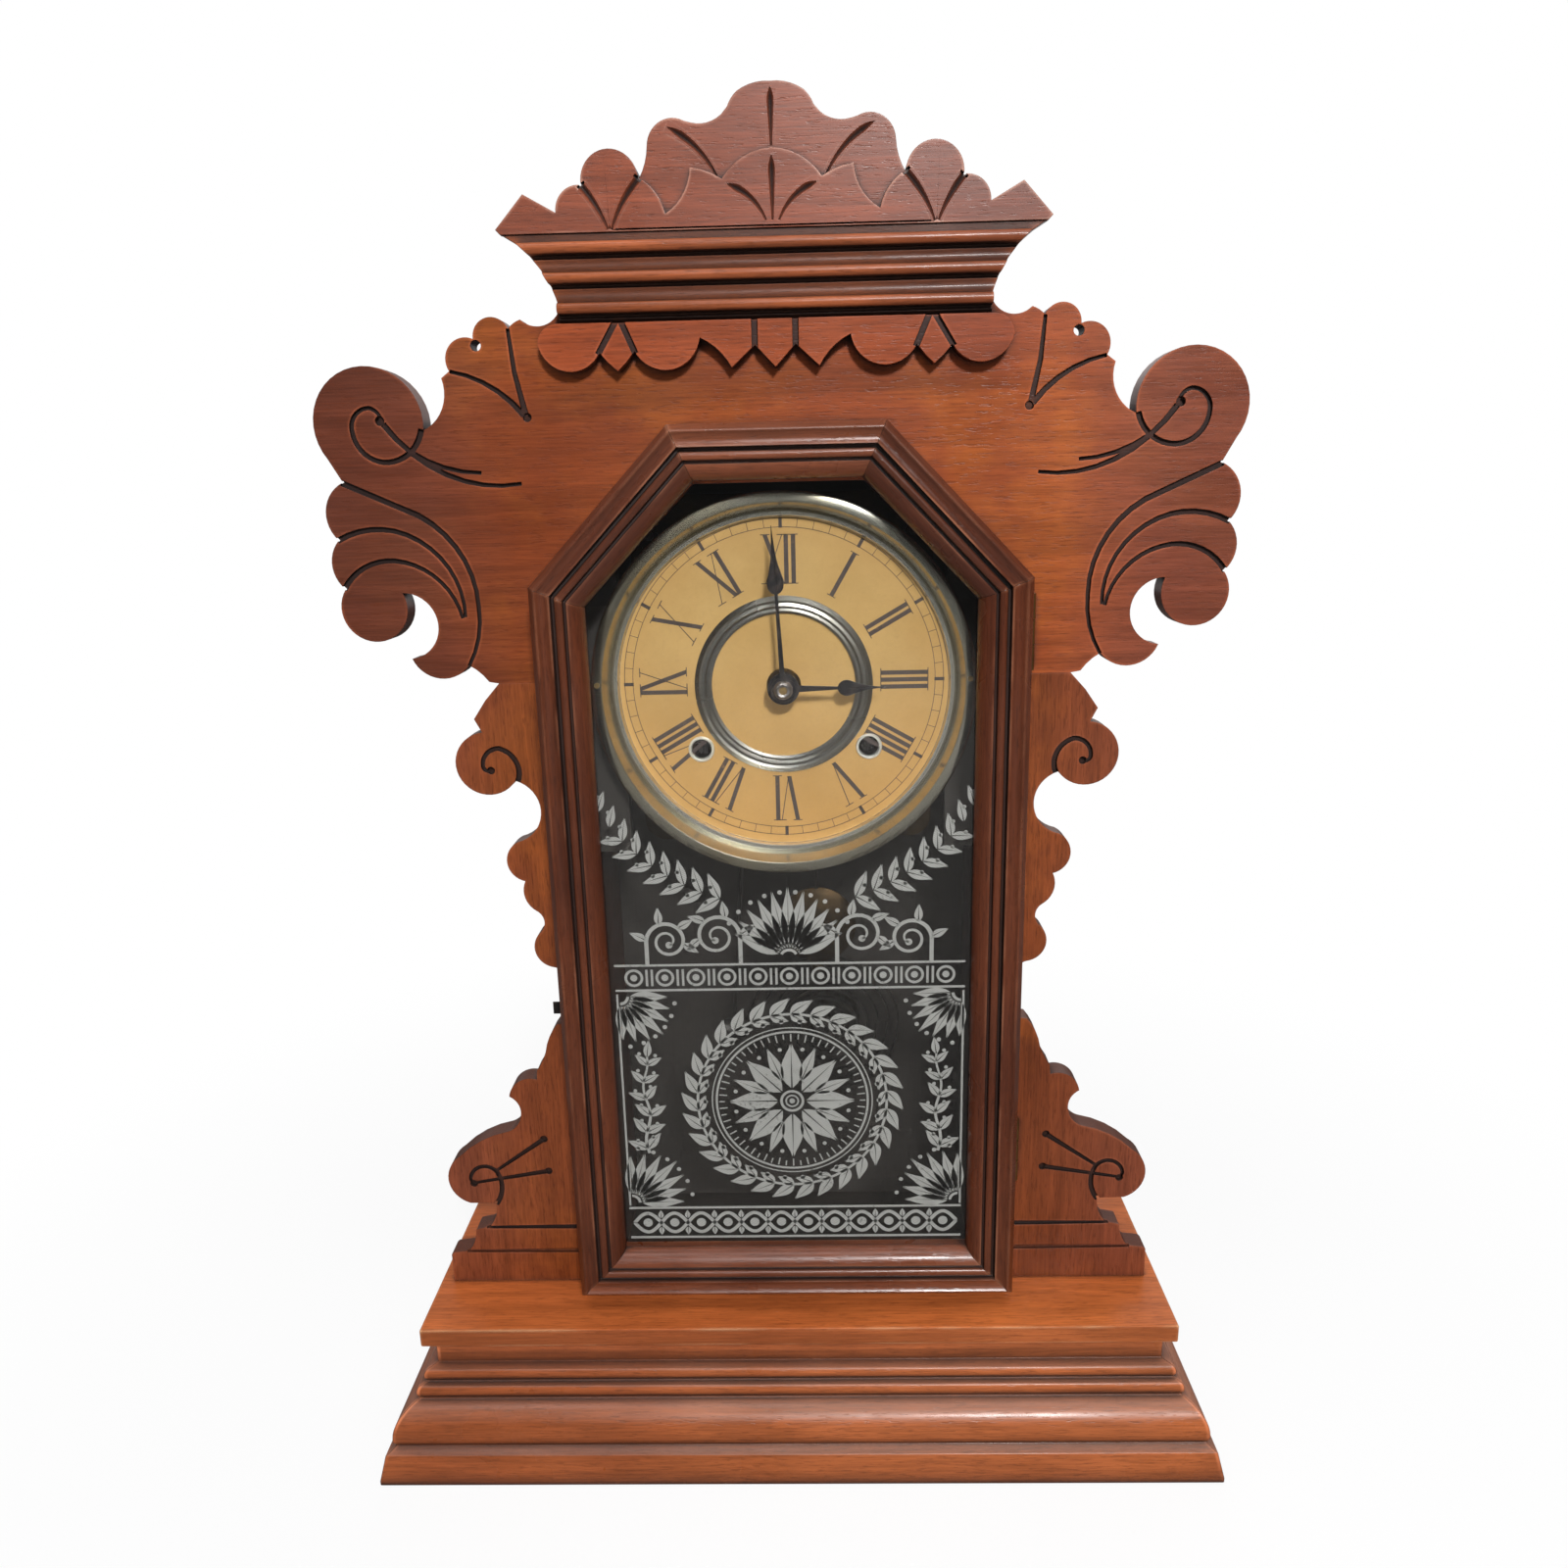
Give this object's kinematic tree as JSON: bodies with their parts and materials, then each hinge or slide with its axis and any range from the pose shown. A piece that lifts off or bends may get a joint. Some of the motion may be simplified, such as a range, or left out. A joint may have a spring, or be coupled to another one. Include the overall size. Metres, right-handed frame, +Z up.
{
  "type": "shelf clock",
  "caption": "Carved wooden shelf clock with a glazed moulded door, round paper dial, hands, wound striking movement, swinging pendulum and coil gong.",
  "frame": {"origin": "middle of the base's footprint, on the surface it stands on", "axes": "+X to the clock's right as seen from the front, +Y to its back, +Z up"},
  "size_m": [0.364, 0.125, 0.5555],
  "materials": {
    "case_wood": "old shellac",
    "inner_wood": "raw",
    "door_wood": "dark shellac",
    "tinned_metal": "worn tinning",
    "paper": "aged paper",
    "glass": "clear",
    "steel": "satin",
    "blackened_steel": "blackened",
    "iron": "cast",
    "brass": "aged"
  },
  "bodies": {
    "case": {"base_front_moulding": "case_wood", "base_side_mouldings": "case_wood", "base_shelf": "case_wood", "case_sides": "case_wood", "case_top": "case_wood", "back_board": "inner_wood", "upper_panel": "case_wood", "side_frets": "case_wood", "crown_cornice": "case_wood", "crown_pediment": "case_wood", "scalloped_apron": "case_wood", "dial_strips": "inner_wood", "dial_pan": "tinned_metal", "dial_paper": "paper", "dial_centre_ring": "tinned_metal", "winding_grommets": "tinned_metal", "dial_nails": "brass", "front_plate": "brass", "back_plate": "brass", "plate_pillars": "steel", "pillar_nuts": "brass", "movement_battens": "inner_wood", "movement_screws": "steel", "mainsprings": "steel", "suspension_post": "brass", "gong_base": "iron", "gong_coil": "steel", "hinge_case_leaves": "brass", "hook_screw": "steel"},
    "door": {"door_stiles": "door_wood", "door_rails": "door_wood", "door_diagonals": "door_wood", "door_glass": "glass", "hinge_door_leaves": "brass", "door_catch_pin": "steel"},
    "hook": {"door_hook": "blackened_steel"},
    "centre_arbor": {"centre_wheel": "brass", "minute_hand": "blackened_steel", "hand_nut": "brass"},
    "hour": {"hour_wheel": "brass", "hour_hand": "blackened_steel"},
    "minute_wheel": {"minute_wheel": "brass"},
    "time_second": {"time_second_wheel": "brass"},
    "time_great": {"time_great_wheel": "brass", "time_click": "steel"},
    "time_winding": {"time_winding_arbor": "steel"},
    "time_fourth": {"time_fourth_wheel": "brass"},
    "escape": {"escape_wheel": "brass"},
    "verge": {"verge": "steel"},
    "pendulum": {"pendulum_rod": "steel", "pendulum_bob": "brass", "rating_nut": "brass"},
    "strike_great": {"strike_great_wheel": "brass", "strike_click": "steel", "count_wheel": "brass"},
    "strike_winding": {"strike_winding_arbor": "steel"},
    "strike_second": {"strike_second_wheel": "brass"},
    "strike_third": {"strike_third_wheel": "brass"},
    "strike_fly": {"strike_fly": "brass"},
    "hammer": {"strike_hammer": "steel"}
  },
  "joints": [
    {"name": "door_swing", "type": "hinge", "parent": "case", "child": "door", "pos_m": [0.0972, -0.0144, 0.25], "axis": [0, 0, 1], "range_deg": [0, 95]},
    {"name": "door_hook_turn", "type": "hinge", "parent": "case", "child": "hook", "pos_m": [-0.0972, -0.00735, 0.2088], "axis": [1, 0, 0], "range_deg": [-90, 70]},
    {"name": "minute_hand_turn", "type": "hinge", "parent": "case", "child": "centre_arbor", "pos_m": [0, 0, 0.3385], "axis": [0, 1, 0], "continuous": true},
    {"name": "hour_hand_turn", "type": "hinge", "parent": "case", "child": "hour", "pos_m": [0, 0, 0.3385], "axis": [0, 1, 0], "continuous": true},
    {"name": "minute_wheel_turn", "type": "hinge", "parent": "case", "child": "minute_wheel", "pos_m": [-0.0144, 0, 0.3385], "axis": [0, 1, 0], "continuous": true},
    {"name": "time_second_turn", "type": "hinge", "parent": "case", "child": "time_second", "pos_m": [0.0222, 0, 0.3415], "axis": [0, 1, 0], "continuous": true},
    {"name": "time_great_turn", "type": "hinge", "parent": "case", "child": "time_great", "pos_m": [0.0345, 0, 0.3125], "axis": [0, 1, 0], "continuous": true},
    {"name": "time_winding_turn", "type": "hinge", "parent": "time_great", "child": "time_winding", "pos_m": [0.0345, 0, 0.3125], "axis": [0, 1, 0], "range_deg": [0, 2520]},
    {"name": "time_fourth_turn", "type": "hinge", "parent": "case", "child": "time_fourth", "pos_m": [0.00382, 0, 0.36017], "axis": [0, 1, 0], "continuous": true},
    {"name": "escape_turn", "type": "hinge", "parent": "case", "child": "escape", "pos_m": [0.012, 0, 0.37787], "axis": [0, 1, 0], "continuous": true},
    {"name": "pendulum_swing", "type": "hinge", "parent": "case", "child": "pendulum", "pos_m": [0.012, 0, 0.40447], "axis": [0, 1, 0], "range_deg": [-3.5, 3.5]},
    {"name": "verge_rock", "type": "hinge", "parent": "case", "child": "verge", "pos_m": [0.012, 0, 0.39467], "axis": [0, 1, 0], "range_deg": [-5, 5]},
    {"name": "strike_third_turn", "type": "hinge", "parent": "case", "child": "strike_third", "pos_m": [-0.02375, 0, 0.36323], "axis": [0, 1, 0], "continuous": true},
    {"name": "strike_second_turn", "type": "hinge", "parent": "case", "child": "strike_second", "pos_m": [-0.02903, 0, 0.34352], "axis": [0, 1, 0], "continuous": true},
    {"name": "strike_great_turn", "type": "hinge", "parent": "case", "child": "strike_great", "pos_m": [-0.0345, 0, 0.3125], "axis": [0, 1, 0], "continuous": true},
    {"name": "strike_winding_turn", "type": "hinge", "parent": "strike_great", "child": "strike_winding", "pos_m": [-0.0345, 0, 0.3125], "axis": [0, 1, 0], "range_deg": [0, 2520]},
    {"name": "strike_fly_turn", "type": "hinge", "parent": "case", "child": "strike_fly", "pos_m": [-0.02649, 0, 0.37874], "axis": [0, 1, 0], "continuous": true},
    {"name": "hammer_lift", "type": "hinge", "parent": "case", "child": "hammer", "pos_m": [-0.02, 0, 0.2805], "axis": [0, 1, 0], "range_deg": [0, 14]}
  ],
  "couplings": [
    {"joint": "hour_hand_turn", "follows": "minute_hand_turn", "ratio": 0.083333},
    {"joint": "minute_wheel_turn", "follows": "minute_hand_turn", "ratio": -0.33333},
    {"joint": "time_second_turn", "follows": "minute_hand_turn", "ratio": -0.4},
    {"joint": "time_great_turn", "follows": "minute_hand_turn", "ratio": 0.066667},
    {"joint": "time_fourth_turn", "follows": "minute_hand_turn", "ratio": -9},
    {"joint": "escape_turn", "follows": "minute_hand_turn", "ratio": 108},
    {"joint": "verge_rock", "follows": "pendulum_swing", "ratio": 1.3203},
    {"joint": "strike_second_turn", "follows": "strike_third_turn", "ratio": -0.13333},
    {"joint": "strike_great_turn", "follows": "strike_third_turn", "ratio": 0.022222},
    {"joint": "strike_fly_turn", "follows": "strike_third_turn", "ratio": -8}
  ]
}
